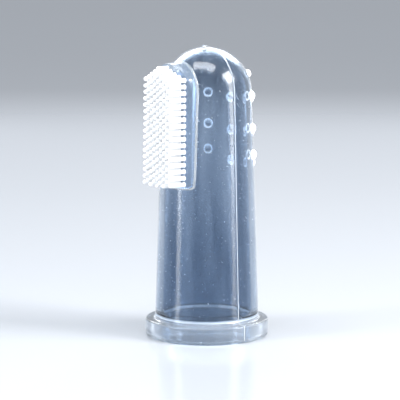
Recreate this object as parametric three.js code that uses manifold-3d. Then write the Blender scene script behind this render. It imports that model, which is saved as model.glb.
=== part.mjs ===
// A finger toothbrush for pets: a soft clear silicone sleeve that slips over a fingertip and stands
// on its open flanged end, with a pad of bristles on one side and massage nubs on the other.
// Millimetres, +Z up along the sleeve's axis, the bristles point along -Y.
import * as THREE from "three";
import { mergeVertices } from "three/addons/utils/BufferGeometryUtils.js";
import Module from "manifold-3d";

const wasm = await Module();
wasm.setup();

// Sleeve: a tapered tube closed by a round dome
const HEIGHT = 55;
const CROWN_RADIUS = 8.55; // outside of the dome and of the tube's top
const FOOT_RADIUS = 9.95; // outside of the tube's foot
const CROWN_WALL = 1;
const FOOT_WALL = 1.35;
const DOME_CENTRE_Z = HEIGHT - CROWN_RADIUS;
const SLEEVE_SIDES = 40;
const DOME_STEPS = 7;

// Flange: the thick ring around the open end
const FLANGE_RADIUS = 11.75;
const FLANGE_THICKNESS = 3.3;
const FLANGE_EDGE_ROUND = 0.4;
const BORE_RADIUS = FOOT_RADIUS - FOOT_WALL;
const FLANGE_SIDES = 56;

// Brush pad: a block with an upright rounded face, straight sides and an arched top. It is thin at
// its foot, where the sleeve is wide, and thick at its top, where the dome falls away behind it.
const PAD_FOOT_RADIUS = 9.4; // of its face, round the sleeve's axis
const PAD_TOP_RADIUS = 9.25;
const PAD_HALF_WIDTH = 5.75;
const PAD_BOTTOM_Z = 28.9;
const PAD_ARCH_Z = 46.65;
const PAD_TOP_Z = PAD_ARCH_Z + PAD_HALF_WIDTH;
const PAD_ARCH_STEPS = 12;
const PAD_RIM = 0.5; // frame of the pad beside and above the strips that carry the bristles
const PAD_SILL = 0.28; // and below them
const PAD_REACH = 12; // how far the cutting outlines run from the axis

// Bristles: parallel pegs in staggered columns, their tips in one plane that leans back a little
const TIP_DISTANCE = 11.9; // from the sleeve's axis, at the lowest row
const TIP_LEAN = 0.014; // how much nearer the axis the tips are for each millimetre of height
const BRISTLE_ROOT_RADIUS = 0.43;
const BRISTLE_TIP_RADIUS = 0.36;
const BRISTLE_SIDES = 6;
const ROW_PITCH = 1.209;
const COLUMN_PITCH = 1.02;
const COLUMN_LIFT = 0.02; // times the column's number squared: the rows curve up at both ends
const OUTER_COLUMN = 4; // columns run from -4 to 4
const OUTER_COLUMN_ROWS = 17;
const FIRST_ROW_Z = 29.48;
const ROW_COUNT = OUTER_COLUMN_ROWS + OUTER_COLUMN / 2;
const STRIP_START = 0.2; // of a row's pitch: how far each row's strip starts below its middle bristle

// Massage nubs: rounded studs on the side away from the brush
const NUB_RADIUS = 0.95;
const NUB_HEIGHT = 0.65;
const NUB_SINK = 0.3; // how far the stud starts below the sleeve's face before it is cut to it
const NUB_SIDES = 8;
const NUB_STEPS = 3;
const OUTER_NUBS = { angle: 129, heights: [45.9, 39.8, 34.8] };
const INNER_NUBS = { angle: 161.5, heights: [45, 38.7, 32.8] };
const DOME_NUB = { angle: 143, height: 50.1, scale: 0.75 };

// Clearance left between pieces that are cut to each other
const GAP = 0.1;

const QUARTER_TURN = Math.PI / 2;

const CLEAR = new THREE.MeshStandardMaterial({ color: 0x8fa6c4, roughness: 0.15, metalness: 0 });
const FROSTED = new THREE.MeshStandardMaterial({ color: 0xc8d4e6, roughness: 0.35, metalness: 0 });
const WHITE = new THREE.MeshStandardMaterial({ color: 0xf2f4f8, roughness: 0.4, metalness: 0 });
const NUB = new THREE.MeshStandardMaterial({ color: 0xdde6f2, roughness: 0.2, metalness: 0 });

const toolkit = new THREE.Group();

// Turns a three.js shape that was drawn with +Y up so that +Z is up
function upright(geometry) {
  return geometry.rotateX(QUARTER_TURN);
}

// A closed solid that can be joined and cut
function solid(geometry) {
  const bare = geometry.clone();
  bare.deleteAttribute("normal");
  bare.deleteAttribute("uv");
  const merged = mergeVertices(bare, 1e-4);
  const corners = merged.index.array;
  const triangles = [];
  for (let i = 0; i < corners.length; i += 3) {
    const [a, b, c] = [corners[i], corners[i + 1], corners[i + 2]];
    if (a !== b && b !== c && c !== a) {
      triangles.push(a, b, c);
    }
  }
  const mesh = new wasm.Mesh({
    numProp: 3,
    vertProperties: new Float32Array(merged.attributes.position.array),
    triVerts: new Uint32Array(triangles),
  });
  return new wasm.Manifold(mesh);
}

// The three.js geometry of a joined or cut solid
function geometryOf(body) {
  const mesh = body.getMesh();
  const geometry = new THREE.BufferGeometry();
  geometry.setAttribute("position", new THREE.BufferAttribute(mesh.vertProperties, 3));
  geometry.setIndex(new THREE.BufferAttribute(mesh.triVerts, 1));
  geometry.computeVertexNormals();
  return geometry;
}

function addPiece(name, geometry, material) {
  const mesh = new THREE.Mesh(geometry, material);
  mesh.name = name;
  toolkit.add(mesh);
}

// Quarter circle from its widest point to the axis, as profile points
function domeProfile(radius, centreZ) {
  const points = [];
  for (let step = 0; step <= DOME_STEPS; step += 1) {
    const angle = (QUARTER_TURN * step) / DOME_STEPS;
    const reach = step === DOME_STEPS ? 0 : radius * Math.cos(angle);
    points.push(new THREE.Vector2(reach, centreZ + radius * Math.sin(angle)));
  }
  return points;
}

// The sleeve's outer shape, filled, and raised by `rise`
function filledSleeve(rise) {
  const foot = [
    new THREE.Vector2(0, FLANGE_THICKNESS),
    new THREE.Vector2(FOOT_RADIUS + rise, FLANGE_THICKNESS),
  ];
  const profile = foot.concat(domeProfile(CROWN_RADIUS + rise, DOME_CENTRE_Z));
  return solid(upright(new THREE.LatheGeometry(profile, SLEEVE_SIDES)));
}

// Outside radius of the sleeve at height z
function radiusAt(z) {
  if (z > DOME_CENTRE_Z) {
    return Math.sqrt(CROWN_RADIUS ** 2 - (z - DOME_CENTRE_Z) ** 2);
  }
  const share = (z - FLANGE_THICKNESS) / (DOME_CENTRE_Z - FLANGE_THICKNESS);
  return FOOT_RADIUS + (CROWN_RADIUS - FOOT_RADIUS) * share;
}

function addFingerSleeve() {
  const outside = [new THREE.Vector2(FOOT_RADIUS, FLANGE_THICKNESS)];
  outside.push(...domeProfile(CROWN_RADIUS, DOME_CENTRE_Z));
  const inside = domeProfile(CROWN_RADIUS - CROWN_WALL, DOME_CENTRE_Z).reverse();
  inside.push(new THREE.Vector2(BORE_RADIUS, FLANGE_THICKNESS));
  const profile = outside.concat(inside, outside[0]);
  addPiece("finger_sleeve", upright(new THREE.LatheGeometry(profile, SLEEVE_SIDES)), CLEAR);
}

function addBaseFlange() {
  const rim = FLANGE_RADIUS - FLANGE_EDGE_ROUND;
  const shoulder = FLANGE_THICKNESS - FLANGE_EDGE_ROUND;
  const profile = [
    new THREE.Vector2(BORE_RADIUS, 0),
    new THREE.Vector2(rim, 0),
    new THREE.Vector2(FLANGE_RADIUS, FLANGE_EDGE_ROUND),
    new THREE.Vector2(FLANGE_RADIUS, shoulder),
    new THREE.Vector2(rim, FLANGE_THICKNESS),
    new THREE.Vector2(BORE_RADIUS, FLANGE_THICKNESS),
    new THREE.Vector2(BORE_RADIUS, 0),
  ];
  addPiece("base_flange", upright(new THREE.LatheGeometry(profile, FLANGE_SIDES)), FROSTED);
}

// Seen from the brush side: a flat bottom, straight sides and a half-round top
function padOutline(inset, sill) {
  const halfWidth = PAD_HALF_WIDTH - inset;
  const outline = new THREE.Shape();
  outline.moveTo(-halfWidth, PAD_BOTTOM_Z + sill);
  outline.lineTo(halfWidth, PAD_BOTTOM_Z + sill);
  outline.absarc(0, PAD_ARCH_Z, halfWidth, 0, Math.PI, false);
  outline.closePath();
  const settings = { depth: PAD_REACH, bevelEnabled: false, curveSegments: PAD_ARCH_STEPS };
  return solid(upright(new THREE.ExtrudeGeometry(outline, settings)));
}

// The pad's round face, filled in to the sleeve's axis and raised by `rise`
function filledPad(rise) {
  const profile = [
    new THREE.Vector2(0, PAD_BOTTOM_Z - rise),
    new THREE.Vector2(PAD_FOOT_RADIUS + rise, PAD_BOTTOM_Z - rise),
    new THREE.Vector2(PAD_TOP_RADIUS + rise, PAD_TOP_Z + rise),
    new THREE.Vector2(0, PAD_TOP_Z + rise),
  ];
  return solid(upright(new THREE.LatheGeometry(profile, SLEEVE_SIDES)));
}

// The layer of space, inside the pad's frame, that each row's strip may fill
function rowLayer(row) {
  const layer = new THREE.BoxGeometry(2 * PAD_REACH, 2 * PAD_REACH, ROW_PITCH - GAP);
  layer.translate(0, 0, FIRST_ROW_Z + (row - STRIP_START + 0.5) * ROW_PITCH);
  return solid(layer).intersect(padOutline(PAD_RIM + GAP, PAD_SILL + GAP));
}

// The arch of the brush: each column inwards reaches half a pitch higher
function columnsInRow(row) {
  const columns = [];
  for (let column = -OUTER_COLUMN; column <= OUTER_COLUMN; column += 1) {
    const rows = OUTER_COLUMN_ROWS + Math.floor((OUTER_COLUMN - Math.abs(column)) / 2);
    if (row < rows) {
      columns.push(column);
    }
  }
  return columns;
}

function bristle(column, row) {
  const stagger = Math.abs(column % 2) / 2;
  const z = FIRST_ROW_Z + (row + stagger) * ROW_PITCH + COLUMN_LIFT * column ** 2;
  const rootDistance = CROWN_RADIUS / 2;
  const length = TIP_DISTANCE - TIP_LEAN * (z - FIRST_ROW_Z) - rootDistance;
  const peg = new THREE.CylinderGeometry(
    BRISTLE_ROOT_RADIUS,
    BRISTLE_TIP_RADIUS,
    length,
    BRISTLE_SIDES,
  );
  peg.translate(column * COLUMN_PITCH, -(rootDistance + length / 2), z);
  return solid(peg);
}

// One strip of the pad with its zigzag row of bristles
function addBristleRow(row, block, blockClearance, sleeveClearance) {
  const layer = rowLayer(row);
  const overNeighbours = blockClearance.subtract(layer);
  let body = block.intersect(layer);
  for (const column of columnsInRow(row)) {
    body = body.add(bristle(column, row).subtract(overNeighbours));
  }
  const number = String(row + 1).padStart(2, "0");
  addPiece(`bristle_row_${number}`, geometryOf(body.subtract(sleeveClearance)), WHITE);
}

function addBrush() {
  const block = filledPad(0);
  const blockClearance = filledPad(GAP);
  const sleeveClearance = filledSleeve(GAP);
  const frame = padOutline(0, 0).subtract(padOutline(PAD_RIM, PAD_SILL));
  const pad = block.intersect(frame).subtract(sleeveClearance);
  addPiece("brush_pad", geometryOf(pad), CLEAR);
  for (let row = 0; row < ROW_COUNT; row += 1) {
    addBristleRow(row, block, blockClearance, sleeveClearance);
  }
}

// Dome-shaped stud along +Y, its foot below the origin
function studGeometry(scale) {
  const radius = NUB_RADIUS * scale;
  const profile = [new THREE.Vector2(0, -NUB_SINK), new THREE.Vector2(radius, -NUB_SINK)];
  for (let step = 0; step <= NUB_STEPS; step += 1) {
    const angle = (QUARTER_TURN * step) / NUB_STEPS;
    const reach = step === NUB_STEPS ? 0 : radius * Math.cos(angle);
    profile.push(new THREE.Vector2(reach, NUB_HEIGHT * scale * Math.sin(angle)));
  }
  return new THREE.LatheGeometry(profile, NUB_SIDES);
}

// A stud standing square on the sleeve, `angle` degrees round from the brush side towards +X
function addNub(name, angle, z, scale, cutter) {
  const radius = radiusAt(z);
  const tilt = z > DOME_CENTRE_Z ? Math.asin((z - DOME_CENTRE_Z) / CROWN_RADIUS) : 0;
  const turn = THREE.MathUtils.degToRad(angle);
  const outward = new THREE.Vector3(
    Math.sin(turn) * Math.cos(tilt),
    -Math.cos(turn) * Math.cos(tilt),
    Math.sin(tilt),
  );
  const stud = studGeometry(scale);
  const up = new THREE.Vector3(0, 1, 0);
  stud.applyQuaternion(new THREE.Quaternion().setFromUnitVectors(up, outward));
  stud.translate(Math.sin(turn) * radius, -Math.cos(turn) * radius, z);
  addPiece(name, geometryOf(solid(stud).subtract(cutter)), NUB);
}

function addMassageNubs() {
  const cutter = filledSleeve(GAP);
  const levels = ["upper", "middle", "lower"];
  for (const [side, sign] of [["right", 1], ["left", -1]]) {
    for (const [column, nubs] of [["outer", OUTER_NUBS], ["inner", INNER_NUBS]]) {
      nubs.heights.forEach((z, index) => {
        const name = `massage_nub_${side}_${column}_${levels[index]}`;
        addNub(name, sign * nubs.angle, z, 1, cutter);
      });
    }
  }
  addNub("massage_nub_dome", DOME_NUB.angle, DOME_NUB.height, DOME_NUB.scale, cutter);
}

addFingerSleeve();
addBaseFlange();
addBrush();
addMassageNubs();

export default toolkit;
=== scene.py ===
"""A finger toothbrush for pets: one soft clear silicone moulding, standing on its flanged open end.

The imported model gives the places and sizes; this script gives the looks. Metres, +Z up, bristles along -Y.
"""

import math
import random

import bmesh
import bpy
from mathutils import Matrix, Vector


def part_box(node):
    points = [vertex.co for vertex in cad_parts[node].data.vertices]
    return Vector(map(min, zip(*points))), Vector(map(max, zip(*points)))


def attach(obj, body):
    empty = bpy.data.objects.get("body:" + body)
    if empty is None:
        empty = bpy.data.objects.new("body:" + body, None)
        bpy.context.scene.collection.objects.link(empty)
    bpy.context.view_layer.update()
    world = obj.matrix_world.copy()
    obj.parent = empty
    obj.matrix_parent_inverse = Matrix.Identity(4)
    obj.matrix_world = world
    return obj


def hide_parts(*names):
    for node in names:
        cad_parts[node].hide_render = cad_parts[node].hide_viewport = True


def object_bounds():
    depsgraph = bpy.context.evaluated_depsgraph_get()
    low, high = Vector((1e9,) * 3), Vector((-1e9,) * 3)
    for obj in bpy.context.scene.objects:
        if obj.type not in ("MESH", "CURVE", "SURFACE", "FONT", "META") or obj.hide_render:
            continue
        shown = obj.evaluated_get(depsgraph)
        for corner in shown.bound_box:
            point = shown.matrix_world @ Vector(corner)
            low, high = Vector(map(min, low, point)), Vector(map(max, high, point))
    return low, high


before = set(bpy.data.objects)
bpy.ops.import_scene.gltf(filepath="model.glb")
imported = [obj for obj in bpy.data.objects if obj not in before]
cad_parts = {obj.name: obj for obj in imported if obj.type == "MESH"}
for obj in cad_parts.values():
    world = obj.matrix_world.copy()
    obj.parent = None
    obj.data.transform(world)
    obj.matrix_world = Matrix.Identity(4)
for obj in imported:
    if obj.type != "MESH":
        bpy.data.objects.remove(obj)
cad_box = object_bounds()

MM = 0.001

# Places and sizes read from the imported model
SLEEVE_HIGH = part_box("finger_sleeve")[1]
FLANGE_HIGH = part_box("base_flange")[1]
PAD_LOW, PAD_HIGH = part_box("brush_pad")
ROW_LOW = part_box("bristle_row_01")[0]
NUB_NODES = sorted(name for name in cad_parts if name.startswith("massage_nub"))
ROW_NODES = sorted(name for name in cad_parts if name.startswith("bristle_row"))

# Sleeve and flange
CROWN_RADIUS = 8.55 * MM
CROWN_WALL = 1.0 * MM
FOOT_WALL = 1.35 * MM
FOOT_RADIUS = SLEEVE_HIGH.x
FLANGE_TOP = FLANGE_HIGH.z
FLANGE_RADIUS = FLANGE_HIGH.x
DOME_Z = SLEEVE_HIGH.z - CROWN_RADIUS
BORE_RADIUS = FOOT_RADIUS - FOOT_WALL
RIM_ROUND = 0.45 * MM
FOOT_FILLET = 0.7 * MM
MOUTH_ROUND = 0.3 * MM
ARC_STEPS = 6
RIM_STEPS = 9
DOME_STEPS = 40
WALL_STEPS = 30
SIDE_STEPS = 88  # around each half of the sleeve, between the parting lines
PARTING_WIDTH = 0.15 * MM
PARTING_HEIGHT = 0.09 * MM
RAGGED_FLASH = 0.11 * MM  # how much further it stands out, here and there, on the flange

# Short scratches on the clear silicone
SCRATCH_LENGTH = 14  # times their width
SCRATCH_LEAN = math.radians(38)

# Fine bead inside the mouth
BEAD_Z = FLANGE_TOP + 0.35 * MM
BEAD_HALF_HEIGHT = 0.32 * MM
BEAD_DEPTH = 0.16 * MM

# Brush pad
PAD_FOOT_RADIUS = 9.4 * MM
PAD_TOP_RADIUS = 9.25 * MM
PAD_HALF_WIDTH = PAD_HIGH.x
PAD_ARCH_Z = PAD_HIGH.z - PAD_HALF_WIDTH
PAD_OUTLINE_STEPS = 96
PAD_INSETS = 14
PAD_SQUARENESS = 30
PAD_DRAFT = 0.28 * MM
PAD_EDGE_ROUND = 0.18 * MM
PAD_FOOT_FILLET = 0.12 * MM
SEAT = 0.02 * MM  # between a separate piece and the sleeve under it

# Bristles
TIP_DISTANCE = -ROW_LOW.y
TIP_LEAN = 0.014
ROOT_RADIUS = 0.5 * MM
TIP_RADIUS = 0.41 * MM
BRISTLE_SIDES = 10
BRISTLE_SINK = 0.12 * MM
COLUMN_PITCH = 1.02 * MM
COLUMN_LIFT = 0.02 * MM
ROW_PITCH = 1.209 * MM
PACKED_PEG_RADIUS = 0.382 * MM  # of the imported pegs, where they leave the pad
OUTER_COLUMN = 4
OUTER_COLUMN_ROWS = len(ROW_NODES) - OUTER_COLUMN // 2
FIRST_ROW_Z = ROW_LOW.z + PACKED_PEG_RADIUS
TIP_WANDER = 0.05 * MM
WAIST = ((0.32 * MM, 0.82), (0.62 * MM, 1.0))  # heights up a peg, and its share of full width there
ROOT_GLOW_RADIUS = 9.55 * MM  # from the sleeve's axis: the pegs glow at their roots, and no further

# Massage nubs
NUB_RADIUS = 0.93 * MM
NUB_RING = 0.68  # share of its radius where a nub's hazy ring, with its painted glow, begins
NUB_CLEAR_TOP = 0.35  # how strongly that haze and its painted glow fade towards its top
NUB_HEIGHT = 0.72 * MM
NUB_SQUARENESS = 2.1
DOME_NUB_SCALE = 0.75

# Gate mark on the crown
GATE_RADIUS = 0.55 * MM
GATE_HEIGHT = 0.4 * MM
GATE_OFFSET = 0.6 * MM

# Colours: of the silicone where it is light and where it is deep
WHITE = (1.0, 1.0, 1.0)
CLEAR_LIGHT = (0.65, 0.73, 0.83)
CLEAR_DEEP = (0.24, 0.32, 0.43)
PAD_LIGHT = (0.72, 0.81, 0.91)
PAD_DEEP = (0.64, 0.75, 0.87)
FROSTED_LIGHT = (0.75, 0.82, 0.90)
FROSTED_DEEP = (0.63, 0.72, 0.83)
FLASH_DEEP = (0.84, 0.91, 0.98)
NUB_CLEAR = (0.93, 0.97, 1, 1)
NUB_DEEP = (0.92, 0.96, 1.0)
BRISTLE_LIGHT = (0.96, 0.97, 0.98)
BRISTLE_DEEP = (0.88, 0.90, 0.93)
TIP_GLOW = (0.03, 0.03, 0.03)

SILICONE_IOR = 1.41
EVEN_SCATTER = (1, 1, 1)  # the same reach for red, green and blue

# Glows: they stand for light that the real silicone gathers and scatters
PARTING_GLOW = 0
BEAD_GLOW = 0.45
NUB_GLOW = 1.5
BRISTLE_GLOW = 0.55

# How much each thing deepens the clear silicone's tint
CLOUD_TINT = 0.6
FOOT_TINT = 0.55
CROWN_TINT = 0.25
CROWN_HAZE_TOP = DOME_Z + CROWN_RADIUS / 2

# Camera: where it stands round the object, and how it frames it
CAMERA_AZIMUTH = math.radians(53)
CAMERA_DISTANCE = 330 * MM
CAMERA_HEIGHT = 69 * MM
CAMERA_TILT = math.radians(7.45)
CAMERA_SIDE_AIM = -1.3 * MM
CAMERA_LENS = 157

# Studio
FLOOR_HALF_WIDTH = 4
FLOOR_COLOUR = (0.40, 0.42, 0.45, 1)
FLOOR_ROUGHNESS = 0.15
AIR_COLOUR = (0.62, 0.66, 0.72, 1)
AIR_STRENGTH = 0.75

# Lamps: name, degrees round from the camera, elevation, distance, width, height, power and colour
LAMPS = (
    ("right softbox", 66, 16, 0.5, 0.12, 0.5, 2.3, (1.0, 0.99, 0.97)),
    ("key softbox", 72, 36, 0.5, 0.24, 0.2, 3.4, (1.0, 0.99, 0.98)),
    ("left softbox", -68, 20, 0.5, 0.09, 0.5, 2.0, (0.97, 0.99, 1.0)),
    ("right rim strip", 158, 14, 0.5, 0.03, 0.5, 0.2, WHITE),
    ("left rim strip", -158, 14, 0.5, 0.03, 0.5, 0.2, WHITE),
    ("crown softbox", 180, 30, 0.6, 0.6, 0.14, 2.0, (0.97, 0.99, 1.0)),
    ("top softbox", -20, 74, 0.6, 0.5, 0.22, 4.5, WHITE),
)


# ---------------------------------------------------------------- materials

# The colour sockets of a Mix node, by number, because its names repeat
MIX_SHARE, MIX_FIRST, MIX_SECOND, MIX_RESULT = 0, 6, 7, 2


class Value:
    """A number that changes over a surface: a node's output that can be added, subtracted and scaled."""

    def __init__(self, finish, socket):
        self.finish = finish
        self.socket = socket

    def _math(self, operation, left, right):
        return self.finish.value("ShaderNodeMath", {"operation": operation}, {0: left, 1: right})

    def __add__(self, other):
        return self._math("ADD", self, other)

    __radd__ = __add__

    def __sub__(self, other):
        return self._math("SUBTRACT", self, other)

    def __rsub__(self, other):
        return self._math("SUBTRACT", other, self)

    def __mul__(self, other):
        return self._math("MULTIPLY", self, other)

    __rmul__ = __mul__


class Finish:
    """One material being built around a Principled shader, on the piece's own Object coordinates."""

    def __init__(self, name, **constants):
        self.material = bpy.data.materials.new(name)
        self.material.use_nodes = True
        self.tree = self.material.node_tree
        self.shader = self.tree.nodes["Principled BSDF"]
        for socket, value in constants.items():
            self.shader.inputs[socket.replace("_", " ")].default_value = value
        self.place = self.node("ShaderNodeTexCoord").outputs["Object"]

    def node(self, kind, settings=None, sockets=None):
        """Adds a node: its settings first, then a value or a link for each socket."""
        made = self.tree.nodes.new(kind)
        for setting, value in (settings or {}).items():
            setattr(made, setting, value)
        for socket, value in (sockets or {}).items():
            self.feed(made.inputs[socket], value)
        return made

    def value(self, kind, settings=None, sockets=None, output=0):
        return Value(self, self.node(kind, settings, sockets).outputs[output])

    def feed(self, socket, value):
        """Links a socket to a Value or another node's socket, or sets its constant."""
        if isinstance(value, Value):
            value = value.socket
        if isinstance(value, bpy.types.NodeSocket):
            self.tree.links.new(value, socket)
        else:
            socket.default_value = value

    def along(self, axis):
        """The place along the piece's axis 0, 1 or 2, in millimetres."""
        return self.value("ShaderNodeSeparateXYZ", None, {0: self.place}, output=axis) * (1 / MM)

    def noise(self, size, detail=2.0, stretch=(1, 1, 1)):
        """Soft noise from 0 to 1 whose patches are about `size` metres across, longer where stretched."""
        scale = [1 / (size * length) for length in stretch]
        place = self.node("ShaderNodeMapping", None, {"Vector": self.place, "Scale": scale})
        sockets = {"Vector": place.outputs[0], "Scale": 1.0, "Detail": detail}
        return self.value("ShaderNodeTexNoise", None, sockets)

    def specks(self, spacing, size, share, length=1, lean=0.0):
        """1 on tiny specks scattered about `spacing` metres apart, on the given share of the places: round,
        or drawn out to `length` times their width along a line that leans by `lean` from upright."""
        cell = (spacing, spacing, spacing * length)
        sockets = {"Vector": self.place, "Rotation": (lean, 0, 0), "Scale": cell}
        place = self.node("ShaderNodeMapping", {"vector_type": "TEXTURE"}, sockets)
        cells = self.node("ShaderNodeTexVoronoi", None, {"Vector": place.outputs[0], "Scale": 1.0})
        distance = Value(self, cells.outputs["Distance"])
        near = 1 - self.step(distance, size / spacing / 2, size / spacing)
        kept = self.value("ShaderNodeSeparateColor", None, {"Color": cells.outputs["Color"]})
        return near * self.step(kept, 1 - share, 1 - share + 0.01)

    def step(self, value, low, high):
        """0 below `low`, 1 above `high` and smooth between."""
        settings = {"interpolation_type": "SMOOTHSTEP"}
        sockets = {"Value": value, "From Min": low, "From Max": high}
        return self.value("ShaderNodeMapRange", settings, sockets)

    def blend(self, share, first, second):
        """A colour that goes from `first` to `second`; each is a plain colour or another blend."""
        colours = [one if isinstance(one, bpy.types.NodeSocket) else (*one, 1) for one in (first, second)]
        sockets = {MIX_SHARE: share, MIX_FIRST: colours[0], MIX_SECOND: colours[1]}
        return self.node("ShaderNodeMix", {"data_type": "RGBA"}, sockets).outputs[MIX_RESULT]

    def relief(self, height, distance, strength=1.0):
        """Feeds the Normal with a bump of the given depth."""
        sockets = {"Height": height, "Distance": distance, "Strength": strength}
        self.paint("Normal", self.node("ShaderNodeBump", None, sockets).outputs[0])

    def paint(self, socket, value):
        self.feed(self.shader.inputs[socket], value)

    def overlay(self, share, **constants):
        """A second Principled shader that shows where `share` is 1; later paint goes to it."""
        first = self.shader
        self.shader = self.node("ShaderNodeBsdfPrincipled")
        for socket, value in constants.items():
            self.shader.inputs[socket.replace("_", " ")].default_value = value
        sockets = {"Fac": share, 1: first.outputs[0], 2: self.shader.outputs[0]}
        mixed = self.node("ShaderNodeMixShader", None, sockets)
        self.feed(self.tree.nodes["Material Output"].inputs["Surface"], mixed.outputs[0])


def moulded_silicone(name, light, deep, roughness, **constants):
    """Clear moulded silicone: faintly cloudy, its tint set deeper towards the foot and on the crown, with
    flow waves, handling smears, dust, fine specks and a few short scratches."""
    finish = Finish(name, **constants)
    cloud = finish.noise(2.6 * MM, 3, (1, 1, 9))
    dust = finish.specks(1.3 * MM, 0.1 * MM, 0.5) + finish.specks(0.7 * MM, 0.055 * MM, 0.45)
    dust = dust + finish.specks(0.5 * MM, 0.085 * MM, 0.12, SCRATCH_LENGTH, SCRATCH_LEAN)
    foot = 1 - finish.step(finish.along(2), FLANGE_TOP / MM, DOME_Z / MM)
    crown = finish.step(finish.along(2), DOME_Z / MM, CROWN_HAZE_TOP / MM)
    depth = finish.step(cloud, 0.3, 0.7) * CLOUD_TINT + foot * FOOT_TINT + crown * CROWN_TINT
    tone = finish.blend(depth, light, deep)
    finish.paint("Base Color", finish.blend(dust, tone, WHITE))
    smear = finish.step(finish.noise(3 * MM, 4, (1, 1, 3)), 0.45, 0.75)
    finish.paint("Roughness", smear * 0.06 + dust * 0.6 + crown * 0.07 + roughness)
    flow = finish.noise(2.2 * MM, 2, (1, 1, 6))
    finish.relief(flow + dust * 0.5, 0.05 * MM, 0.5)
    return finish.material


def clear_silicone():
    return moulded_silicone(
        "clear silicone", CLEAR_LIGHT, CLEAR_DEEP, 0.085, IOR=SILICONE_IOR, Transmission_Weight=1.0,
        Sheen_Weight=0.4, Sheen_Roughness=0.25, Sheen_Tint=(0.9, 0.95, 1.0, 1))


def pad_silicone():
    return moulded_silicone(
        "pad silicone", PAD_LIGHT, PAD_DEEP, 0.08, IOR=SILICONE_IOR, Transmission_Weight=0.92)


def frosted_silicone():
    """The thick flange: hazy and smooth."""
    finish = Finish("frosted silicone", IOR=SILICONE_IOR, Transmission_Weight=0.85)
    cloud = finish.noise(4 * MM, 2, (1, 1, 0.5))
    tone = finish.blend(finish.step(cloud, 0.35, 0.65), FROSTED_LIGHT, FROSTED_DEEP)
    finish.paint("Base Color", tone)
    finish.paint("Roughness", cloud * 0.08 + 0.16)
    finish.relief(finish.noise(1.2 * MM, 1), 0.01 * MM, 0.3)
    return finish.material


def flash_silicone(name, glow):
    """A fine whitish line: the parting line, and with a painted glow the bead inside the mouth."""
    finish = Finish(
        name, IOR=SILICONE_IOR, Transmission_Weight=0.6, Emission_Color=(0.9, 0.95, 1, 1),
        Emission_Strength=glow)
    cloud = finish.noise(0.6 * MM, 2, (1, 1, 4))
    finish.paint("Base Color", finish.blend(cloud, WHITE, FLASH_DEEP))
    finish.paint("Roughness", cloud * 0.1 + 0.2)
    return finish.material


def nub_silicone():
    """Clear in the middle of each stud and hazy round its steep rim, which also has a painted glow."""
    finish = Finish(
        "nub silicone", IOR=SILICONE_IOR, Transmission_Weight=1.0, Base_Color=NUB_CLEAR, Roughness=0.04)
    rim = finish.value("ShaderNodeAttribute", {"attribute_name": "rim"}, output="Fac")
    milky_glow = finish.step(rim, NUB_RING - 0.06, NUB_RING + 0.1)
    # painted highlight: the hazy rim also glows white, standing for light that the steep sides catch
    finish.overlay(
        milky_glow * (0.85 + 0.15 * finish.noise(0.4 * MM, 2)), Subsurface_Weight=0.3,
        Subsurface_Scale=0.4 * MM, Subsurface_Radius=EVEN_SCATTER, Roughness=0.2,
        Emission_Color=(*WHITE, 1), Emission_Strength=NUB_GLOW)
    finish.paint("Base Color", finish.blend(finish.noise(0.5 * MM, 1), WHITE, NUB_DEEP))
    return finish.material


def bristle_silicone():
    """Milky silicone pegs that pass light on to each other, with a painted white glow at their roots that
    fades to a faint glow at their tips.
    """
    finish = Finish(
        "bristle silicone", IOR=SILICONE_IOR, Transmission_Weight=0.1,
        Subsurface_Weight=0.8, Subsurface_Scale=0.8 * MM, Subsurface_Radius=EVEN_SCATTER,
        Emission_Strength=BRISTLE_GLOW)
    across, depth = finish.along(0), finish.along(1)
    reach = across * across + depth * depth
    # painted glow: white emission round the roots, fading towards the tips
    tip = finish.step(reach, (PAD_TOP_RADIUS / MM) ** 2, (ROOT_GLOW_RADIUS / MM) ** 2)
    finish.paint("Emission Color", finish.blend(tip, WHITE, TIP_GLOW))
    cloud = finish.noise(0.8 * MM, 2)
    finish.paint("Base Color", finish.blend(cloud, BRISTLE_LIGHT, BRISTLE_DEEP))
    finish.paint("Roughness", cloud * 0.1 + 0.45)
    finish.relief(finish.noise(0.3 * MM, 2), 0.02 * MM, 0.4)
    return finish.material


# ---------------------------------------------------------------- meshes


def arc(centre, radius, start, end, steps):
    """Points (r, z) on an arc from angle `start` to `end`, in degrees."""
    turns = [math.radians(start + (end - start) * i / steps) for i in range(steps + 1)]
    return [(centre[0] + radius * math.cos(t), centre[1] + radius * math.sin(t)) for t in turns]


def line(start, end, steps):
    """Points strictly between two points."""
    shares = [i / steps for i in range(1, steps)]
    return [(start[0] + (end[0] - start[0]) * s, start[1] + (end[1] - start[1]) * s) for s in shares]


def sleeve_radius(z, rise=0.0):
    """Outside radius of the sleeve at height z, for a surface raised by `rise`."""
    if z > DOME_Z:
        return math.sqrt(max((CROWN_RADIUS + rise) ** 2 - (z - DOME_Z) ** 2, 0.0))
    share = (z - FLANGE_TOP) / (DOME_Z - FLANGE_TOP)
    return FOOT_RADIUS + (CROWN_RADIUS - FOOT_RADIUS) * share + rise


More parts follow.
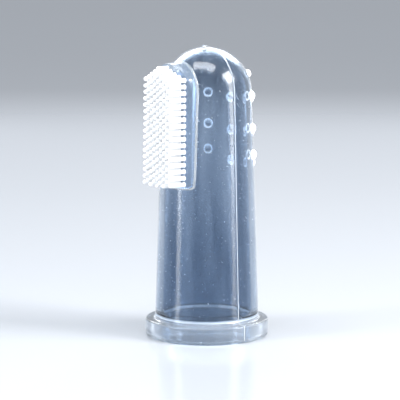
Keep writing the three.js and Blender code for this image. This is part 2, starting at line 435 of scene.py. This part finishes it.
def sleeve_profile():
    """The moulding's wall from the outer crown, down round the flange and up the bore to the inner crown."""
    fillet_z = FLANGE_TOP + FOOT_FILLET
    fillet_r = sleeve_radius(fillet_z) + FOOT_FILLET
    rim_r = FLANGE_RADIUS - RIM_ROUND
    bore_top = CROWN_RADIUS - CROWN_WALL
    points = arc((0, DOME_Z), CROWN_RADIUS, 90, 0, DOME_STEPS)
    points += line(points[-1], (fillet_r - FOOT_FILLET, fillet_z), WALL_STEPS)
    points += arc((fillet_r, fillet_z), FOOT_FILLET, 180, 270, ARC_STEPS)
    points += arc((rim_r, FLANGE_TOP - RIM_ROUND), RIM_ROUND, 90, 0, ARC_STEPS)
    points += line(points[-1], (FLANGE_RADIUS, RIM_ROUND), RIM_STEPS)
    points += arc((rim_r, RIM_ROUND), RIM_ROUND, 0, -90, ARC_STEPS)
    points += arc((BORE_RADIUS + MOUTH_ROUND, MOUTH_ROUND), MOUTH_ROUND, 270, 180, ARC_STEPS)
    for depth, rise in ((0, -1), (1, -0.5), (1, 0.5), (0, 1)):
        points.append((BORE_RADIUS - BEAD_DEPTH * depth, BEAD_Z + BEAD_HALF_HEIGHT * rise))
    points += line(points[-1], (bore_top, DOME_Z), WALL_STEPS)
    points += arc((0, DOME_Z), bore_top, 0, 90, DOME_STEPS)
    return points


def spin_moulding(bm, profile):
    """Spins the profile in four goes, so that a narrow pair of steps lies on each parting line."""
    half_width = PARTING_WIDTH / 2 / CROWN_RADIUS
    start = Matrix.Rotation(half_width, 3, "Z")
    verts = [bm.verts.new(start @ Vector((r, 0, z))) for r, z in profile]
    geometry = verts + [bm.edges.new(pair) for pair in zip(verts, verts[1:])]
    for angle, steps in ((math.pi - 2 * half_width, SIDE_STEPS), (2 * half_width, 2)) * 2:
        result = bmesh.ops.spin(
            bm, geom=geometry, axis=(0, 0, 1), cent=(0, 0, 0), angle=angle, steps=steps)
        geometry = result["geom_last"]
    bmesh.ops.remove_doubles(bm, verts=bm.verts, dist=1e-6)


def is_outside(point):
    """True on the moulding's outer face, false in its bore."""
    reach = math.hypot(point.x, point.y)
    if point.z < FLANGE_TOP:
        return reach > BORE_RADIUS + MOUTH_ROUND * 0.9
    if point.z < DOME_Z:
        return reach > sleeve_radius(point.z) - CROWN_WALL / 2
    return math.hypot(reach, point.z - DOME_Z) > CROWN_RADIUS - CROWN_WALL / 2


def raise_parting_line(bm):
    """Lifts the fine flash line that the two halves of the mould leave on the outside."""
    chance = random.Random(11)
    for vert in bm.verts:
        if abs(vert.co.y) < 1e-6 and vert.co.z > RIM_ROUND and is_outside(vert.co):
            away = Vector((vert.co.x, 0, max(vert.co.z - DOME_Z, 0)))
            ragged = chance.uniform(0, RAGGED_FLASH) if vert.co.z < FLANGE_TOP else 0
            vert.co += away.normalized() * (PARTING_HEIGHT + ragged)


def finish_piece(bm, name, materials, node_names):
    """Turns the mesh into a named piece with smooth faces that stands for its CAD nodes."""
    bmesh.ops.recalc_face_normals(bm, faces=bm.faces)
    for face in bm.faces:
        face.smooth = True
    mesh = bpy.data.meshes.new(name)
    bm.to_mesh(mesh)
    bm.free()
    for material in materials:
        mesh.materials.append(material)
    piece = bpy.data.objects.new(name, mesh)
    bpy.context.scene.collection.objects.link(piece)
    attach(piece, "root")
    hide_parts(*node_names)


def sleeve_finish(face):
    """Which finish a face of the moulding has: 0 clear, 1 frosted, 2 parting line or 3 bead."""
    middle = face.calc_center_median()
    reach = math.hypot(middle.x, middle.y)
    if abs(middle.z - BEAD_Z) < BEAD_HALF_HEIGHT and reach < BORE_RADIUS:
        return 3
    if abs(middle.y) < PARTING_WIDTH / 2 and middle.z > RIM_ROUND and is_outside(middle):
        return 2
    if middle.z < FLANGE_TOP + FOOT_FILLET and reach > BORE_RADIUS + MOUTH_ROUND / 2:
        return 1
    return 0


def make_sleeve(clear, frosted, parting, bead):
    """The sleeve and its flange: one wall, clear above, frosted at the flange, whitish on its fine lines."""
    bm = bmesh.new()
    spin_moulding(bm, sleeve_profile())
    raise_parting_line(bm)
    for face in bm.faces:
        face.material_index = sleeve_finish(face)
    finish_piece(
        bm, "silicone_sleeve", [clear, frosted, parting, bead], ["finger_sleeve", "base_flange"])


def pad_point(turn, inset):
    """A point (x, z) of the pad's outline drawn in by `inset`: half round above, nearly square below."""
    across, up = math.cos(turn), math.sin(turn)
    half_width = PAD_HALF_WIDTH - inset
    if up >= 0:
        return half_width * across, PAD_ARCH_Z + half_width * up
    reach = (abs(across) ** PAD_SQUARENESS + abs(up) ** PAD_SQUARENESS) ** (1 / PAD_SQUARENESS)
    drop = PAD_ARCH_Z - PAD_LOW.z - inset
    return half_width * across / reach, PAD_ARCH_Z + drop * up / reach


def pad_face_radius(z):
    """The pad's face is nearly upright: thin at its foot and thick where the dome falls away behind it."""
    share = (z - PAD_LOW.z) / (PAD_HIGH.z - PAD_LOW.z)
    return PAD_FOOT_RADIUS + (PAD_TOP_RADIUS - PAD_FOOT_RADIUS) * share


def pad_rings():
    """(inset, share, lift) of each ring: how far it is drawn in from the outline, its share of the way
    from the sleeve to the pad's face, and how far it stands out from there."""
    steps = [PAD_HALF_WIDTH * i / PAD_INSETS for i in range(PAD_INSETS, 0, -1)]
    back = [(inset, 0, 0) for inset in steps] + [(-PAD_FOOT_FILLET, 0, 0)]
    fillet = [(-PAD_FOOT_FILLET / 3, 0, PAD_FOOT_FILLET / 3)]
    wall = [(PAD_DRAFT * share, share, -PAD_EDGE_ROUND * share) for share in (0.25, 0.5, 0.75, 1)]
    corner = arc((PAD_DRAFT + PAD_EDGE_ROUND, -PAD_EDGE_ROUND), PAD_EDGE_ROUND, 180, 90, ARC_STEPS)
    edge = [(inset, 1, lift) for inset, lift in corner[1:]]
    face = [(inset, 1, 0) for inset, _ in line(corner[-1], (PAD_HALF_WIDTH, 0), PAD_INSETS)]
    return back + fillet + wall + edge + face + [(PAD_HALF_WIDTH, 1, 0)]


def make_pad(material):
    """The raised pad: rings drawn in from its outline, from its back round its rim to its face, closed in
    the middle of both."""
    rings = pad_rings()
    bm = bmesh.new()
    bmesh.ops.create_circle(bm, radius=1, segments=PAD_OUTLINE_STEPS)
    edges = bm.edges[:]
    for _ in rings[1:]:
        grown = bmesh.ops.extrude_edge_only(bm, edges=edges)["geom"]
        edges = [item for item in grown if isinstance(item, bmesh.types.BMEdge)]
        new_verts = [item for item in grown if isinstance(item, bmesh.types.BMVert)]
        bmesh.ops.translate(bm, verts=new_verts, vec=(0, 0, 1))
        edges = [edge for edge in edges if all(vert in new_verts for vert in edge.verts)]
    for vert in bm.verts:
        inset, share, lift = rings[round(vert.co.z)]
        x, z = pad_point(math.atan2(vert.co.y, vert.co.x), inset)
        back = math.sqrt(sleeve_radius(z, SEAT) ** 2 - x ** 2)
        front = math.sqrt(pad_face_radius(z) ** 2 - x ** 2)
        vert.co = (x, -(back + (front - back) * share + lift), z)
    bmesh.ops.remove_doubles(bm, verts=bm.verts, dist=1e-6)
    finish_piece(bm, "brush_pad_plate", [material], ["brush_pad"])


def columns_in_row(row):
    """The arch of the brush: each column inwards reaches half a pitch higher."""
    columns = range(-OUTER_COLUMN, OUTER_COLUMN + 1)
    return [c for c in columns if row < OUTER_COLUMN_ROWS + (OUTER_COLUMN - abs(c)) // 2]


def add_bristle(bm, column, row, wander):
    """One round peg from the pad to the plane of the tips, with a slight waist and a rounded end."""
    x = column * COLUMN_PITCH
    z = FIRST_ROW_Z + (row + abs(column) % 2 / 2) * ROW_PITCH + COLUMN_LIFT * column ** 2
    root = -math.sqrt(pad_face_radius(z) ** 2 - x ** 2) + BRISTLE_SINK
    length = root + TIP_DISTANCE - TIP_LEAN * (z - FIRST_ROW_Z)
    peg = bmesh.new()
    bmesh.ops.create_cone(
        peg, cap_ends=True, segments=BRISTLE_SIDES, radius1=ROOT_RADIUS, radius2=TIP_RADIUS,
        depth=length)
    tip = [edge for edge in peg.edges if all(v.co.z > 0 for v in edge.verts)]
    bmesh.ops.bevel(
        peg, geom=tip, offset=TIP_RADIUS * 0.72, offset_type="OFFSET", segments=3, profile=0.5,
        affect="EDGES", material=-1)
    bmesh.ops.translate(peg, verts=peg.verts, vec=(0, 0, length / 2))
    for height, width in WAIST:
        whole = peg.verts[:] + peg.edges[:] + peg.faces[:]
        cut = bmesh.ops.bisect_plane(peg, geom=whole, plane_co=(0, 0, height), plane_no=(0, 0, 1))
        ring = [item for item in cut["geom_cut"] if isinstance(item, bmesh.types.BMVert)]
        bmesh.ops.scale(peg, verts=ring, vec=(width, width, 1))
    for vert in peg.verts:
        share = (vert.co.z / length) ** 2
        side, lift = wander[0] * share, wander[1] * share
        vert.co = (x + vert.co.x + side, root - vert.co.z, z + vert.co.y + lift)
    mesh = bpy.data.meshes.new("peg")
    peg.to_mesh(mesh)
    peg.free()
    bm.from_mesh(mesh)
    bpy.data.meshes.remove(mesh)


def make_bristle_rows(material):
    chance = random.Random(4)
    for row, node in enumerate(ROW_NODES):
        bm = bmesh.new()
        for column in columns_in_row(row):
            wander = [chance.uniform(-TIP_WANDER, TIP_WANDER) for _ in range(2)]
            add_bristle(bm, column, row, wander)
        finish_piece(bm, f"bristles_{node[-2:]}", [material], [node])


def make_nub(node, material):
    """A rounded stud standing square on the sleeve, its foot cut flat just above the surface."""
    low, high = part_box(node)
    middle = (low + high) / 2
    scale = DOME_NUB_SCALE if node.endswith("dome") else 1.0
    turn = math.atan2(middle.y, middle.x)
    tilt = math.asin(min(max(middle.z - DOME_Z, 0) / (CROWN_RADIUS + NUB_HEIGHT * scale / 3), 1))
    foot_z = middle.z if tilt == 0 else DOME_Z + CROWN_RADIUS * math.sin(tilt)
    bm = bmesh.new()
    bmesh.ops.create_uvsphere(bm, u_segments=24, v_segments=16, radius=1)
    bmesh.ops.bisect_plane(
        bm, geom=bm.verts[:] + bm.edges[:] + bm.faces[:], plane_co=(0, 0, 0),
        plane_no=(0, 0, 1), clear_inner=True)
    foot_face = bmesh.ops.holes_fill(bm, edges=[edge for edge in bm.edges if edge.is_boundary])["faces"]
    for inset in (1 - NUB_RING, NUB_RING / 2):
        bmesh.ops.inset_individual(bm, faces=foot_face, thickness=inset, depth=0)
    size = Vector((NUB_RADIUS, NUB_RADIUS, NUB_HEIGHT)) * scale
    rim = bm.verts.layers.float.new("rim")
    for vert in bm.verts:
        across, up = math.hypot(vert.co.x, vert.co.y), max(vert.co.z, 0)
        # rim marks where the hazy ring and its painted glow show
        vert[rim] = across * (1 - NUB_CLEAR_TOP * up)
        swell = (across ** NUB_SQUARENESS + up ** NUB_SQUARENESS) ** (-1 / NUB_SQUARENESS)
        if up > 1e-4 and across > 1e-6:
            vert.co *= swell
    bmesh.ops.scale(bm, verts=bm.verts, vec=size)
    outward = Vector((math.cos(turn) * math.cos(tilt), math.sin(turn) * math.cos(tilt), math.sin(tilt)))
    foot = Vector((math.cos(turn), math.sin(turn), 0)) * sleeve_radius(foot_z)
    foot.z = foot_z
    place = Matrix.Translation(foot) @ outward.to_track_quat("Z", "Y").to_matrix().to_4x4()
    bmesh.ops.transform(bm, matrix=place, verts=bm.verts)
    name = node.replace("massage_nub", "nub")
    finish_piece(bm, name, [material], [node])


def make_gate_mark(material):
    """The small torn stub that the mould's gate leaves on the crown."""
    bm = bmesh.new()
    bmesh.ops.create_cone(
        bm, cap_ends=True, segments=20, radius1=GATE_RADIUS, radius2=GATE_RADIUS * 0.7,
        depth=GATE_HEIGHT)
    bmesh.ops.bevel(
        bm, geom=[edge for edge in bm.edges if all(v.co.z > 0 for v in edge.verts)],
        offset=GATE_HEIGHT * 0.3, offset_type="OFFSET", segments=3, profile=0.5,
        affect="EDGES", material=-1)
    tear = random.Random(7)
    for vert in bm.verts:
        if vert.co.z > 0:
            vert.co.z += tear.uniform(-0.15, 0.15) * GATE_HEIGHT
    crown = Vector((0, -GATE_OFFSET, DOME_Z + math.sqrt(CROWN_RADIUS ** 2 - GATE_OFFSET ** 2)))
    bmesh.ops.translate(bm, verts=bm.verts, vec=crown + Vector((0, 0, GATE_HEIGHT * 0.3)))
    finish_piece(bm, "gate_mark", [material], [])


# ---------------------------------------------------------------- studio


def make_floor():
    """A wide plain floor."""
    bm = bmesh.new()
    bmesh.ops.create_grid(bm, x_segments=1, y_segments=1, size=FLOOR_HALF_WIDTH)
    mesh = bpy.data.meshes.new("studio_floor")
    bm.to_mesh(mesh)
    bm.free()
    finish = Finish("studio floor", Base_Color=FLOOR_COLOUR, Roughness=FLOOR_ROUGHNESS)
    mesh.materials.append(finish.material)
    floor = bpy.data.objects.new("studio_floor", mesh)
    bpy.context.scene.collection.objects.link(floor)


def add_softbox(name, round_from_camera, elevation, distance, width, height, power, colour):
    """A rectangular lamp that faces the middle of the brush."""
    lamp = bpy.data.lights.new(name, "AREA")
    lamp.shape = "RECTANGLE"
    lamp.size = width
    lamp.size_y = height
    lamp.energy = power
    lamp.color = colour
    turn, lift = CAMERA_AZIMUTH + math.radians(round_from_camera), math.radians(elevation)
    away = Vector((math.sin(turn) * math.cos(lift), -math.cos(turn) * math.cos(lift), math.sin(lift)))
    middle = Vector((0, 0, (cad_box[0].z + cad_box[1].z) / 2))
    holder = bpy.data.objects.new(name, lamp)
    holder.location = middle + away * distance
    holder.rotation_euler = away.to_track_quat("Z", "Y").to_euler()
    holder.visible_camera = False
    bpy.context.scene.collection.objects.link(holder)


def make_studio():
    make_floor()
    world = bpy.data.worlds.new("studio air")
    world.use_nodes = True
    world.node_tree.nodes["Background"].inputs["Color"].default_value = AIR_COLOUR
    world.node_tree.nodes["Background"].inputs["Strength"].default_value = AIR_STRENGTH
    bpy.context.scene.world = world
    bpy.context.scene.view_settings.view_transform = "Standard"
    for lamp in LAMPS:
        add_softbox(*lamp)


def make_camera():
    camera = bpy.data.cameras.new("camera")
    camera.lens = CAMERA_LENS
    camera.clip_start = 0.01
    camera.clip_end = 20
    holder = bpy.data.objects.new("camera", camera)
    away = Vector((math.sin(CAMERA_AZIMUTH), -math.cos(CAMERA_AZIMUTH), 0))
    side = Vector((math.cos(CAMERA_AZIMUTH), math.sin(CAMERA_AZIMUTH), 0))
    holder.location = away * CAMERA_DISTANCE + Vector((0, 0, CAMERA_HEIGHT))
    aim = side * CAMERA_SIDE_AIM
    aim.z = CAMERA_HEIGHT - CAMERA_DISTANCE * math.tan(CAMERA_TILT)
    holder.rotation_euler = (holder.location - aim).to_track_quat("Z", "Y").to_euler()
    bpy.context.scene.collection.objects.link(holder)
    bpy.context.scene.camera = holder


def make_brush():
    make_sleeve(
        clear_silicone(), frosted_silicone(), flash_silicone("parting line silicone", PARTING_GLOW),
        flash_silicone("bead silicone", BEAD_GLOW))
    make_pad(pad_silicone())
    make_bristle_rows(bristle_silicone())
    nub = nub_silicone()
    for node in NUB_NODES:
        make_nub(node, nub)
    make_gate_mark(nub)


make_brush()
make_studio()
make_camera()
